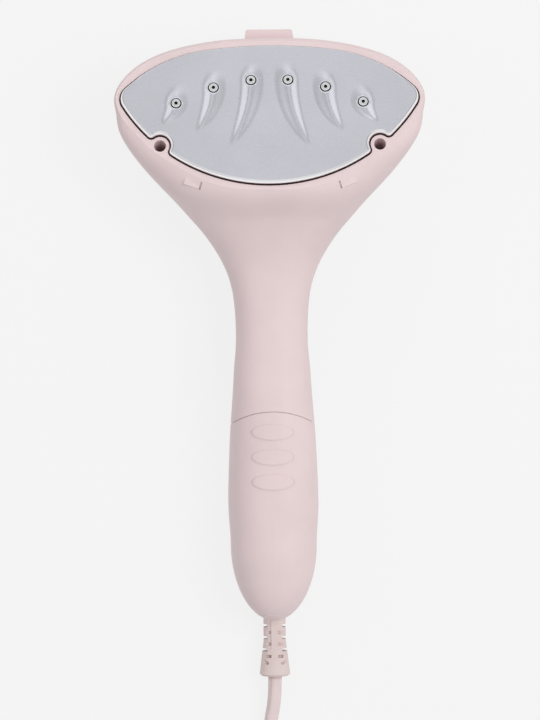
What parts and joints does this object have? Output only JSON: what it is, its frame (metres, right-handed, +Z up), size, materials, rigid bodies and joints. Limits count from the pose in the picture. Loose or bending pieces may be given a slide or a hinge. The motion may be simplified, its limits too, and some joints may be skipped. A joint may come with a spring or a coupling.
{
  "type": "handheld garment steamer",
  "caption": "Handheld garment steamer with a wide lens-shaped metal soleplate, a slide-off water tank in the grip, sprung buttons on the back and a coiled mains cord.",
  "frame": {"origin": "middle of the steamer's length and width, on the surface it lies on, without its cord", "axes": "+X across the head to the right, +Y from the cord end to the head, +Z up out of the soleplate"},
  "size_m": [0.1888, 0.5203, 0.0736],
  "materials": {
    "shell": "satin",
    "tank": "satin",
    "plate": "satin",
    "steel": "satin",
    "casting": "cast",
    "seal": "matte",
    "grey_rubber": "matte",
    "hose": "satin",
    "white_plastic": "satin",
    "black_plastic": "satin",
    "board": "lacquered",
    "button": "gloss",
    "lamp": "frosted",
    "winding": "taped",
    "cord": "satin",
    "relief": "matte",
    "live": "satin",
    "neutral": "satin",
    "earth": "satin"
  },
  "bodies": {
    "body": {"front_shell": "shell", "rear_shell": "shell", "spine_cover": "shell", "soleplate": "plate", "steam_nozzles": "steel", "plate_seal": "seal", "boiler_block": "casting", "boiler_cover": "casting", "boiler_gasket": "seal", "heating_element": "steel", "boiler_screws": "steel", "thermostat": "black_plastic", "fuse_clip": "steel", "thermal_fuse": "white_plastic", "case_screws": "steel", "small_screws": "steel", "pump_frame": "steel", "pump_coil": "winding", "pump_tube": "black_plastic", "pump_mounts": "grey_rubber", "piston_spring": "steel", "tank_dock": "white_plastic", "inlet_hose": "hose", "outlet_hose": "hose", "control_board": "board", "board_parts": "black_plastic", "relay": "white_plastic", "light_ring": "lamp", "steam_switch": "black_plastic", "power_switch": "black_plastic", "steam_spring": "steel", "power_spring": "steel", "strain_relief": "relief", "cord_clamp": "white_plastic", "live_wire": "live", "neutral_wire": "neutral", "earth_wire": "earth", "heater_leads": "live", "cord_lead": "cord", "cord": "cord", "cord_coil": "cord", "cord_tail": "cord", "coil_tie": "black_plastic", "plug_body": "cord", "plug_pins": "steel", "plug_clips": "steel"},
    "tank": {"tank_shell": "tank", "tank_base": "tank", "tank_outlet": "white_plastic", "tank_oring": "grey_rubber", "poppet_retainer": "white_plastic", "poppet_spring": "steel"},
    "filler": {"filler_plug": "tank"},
    "poppet": {"tank_poppet": "white_plastic"},
    "steam_key": {"steam_button": "button"},
    "steam_pin": {"steam_plunger": "white_plastic"},
    "power_key": {"power_button": "button"},
    "power_pin": {"power_plunger": "white_plastic"},
    "piston": {"pump_piston": "steel"}
  },
  "joints": [
    {"name": "tank_slide", "type": "slide", "parent": "body", "child": "tank", "axis": [0, -1, 0], "range_m": [0, 0.09]},
    {"name": "filler_pull", "type": "slide", "parent": "tank", "child": "filler", "axis": [0, -1, 0], "range_m": [0, 0.012]},
    {"name": "poppet_lift", "type": "slide", "parent": "tank", "child": "poppet", "axis": [0, 1, 0], "range_m": [0, 0.002], "stiffness_N_per_m": 60, "springref_m": -0.004, "deforming": ["poppet_spring"]},
    {"name": "steam_press", "type": "slide", "parent": "body", "child": "steam_key", "axis": [0, 0, 1], "range_m": [0, 0.0012], "stiffness_N_per_m": 600, "springref_m": -0.001, "deforming": ["steam_spring"]},
    {"name": "steam_pin_press", "type": "slide", "parent": "body", "child": "steam_pin", "axis": [0, 0, 1], "range_m": [0, 0.0012]},
    {"name": "power_press", "type": "slide", "parent": "body", "child": "power_key", "axis": [0, 0, 1], "range_m": [0, 0.0012], "stiffness_N_per_m": 600, "springref_m": -0.001, "deforming": ["power_spring"]},
    {"name": "power_pin_press", "type": "slide", "parent": "body", "child": "power_pin", "axis": [0, 0, 1], "range_m": [0, 0.0012]},
    {"name": "pump_stroke", "type": "slide", "parent": "body", "child": "piston", "axis": [1, 0, 0], "range_m": [0, 0.004], "stiffness_N_per_m": 300, "springref_m": -0.002, "deforming": ["piston_spring"]}
  ],
  "couplings": [
    {"joint": "steam_pin_press", "follows": "steam_press", "ratio": 1},
    {"joint": "power_pin_press", "follows": "power_press", "ratio": 1}
  ]
}
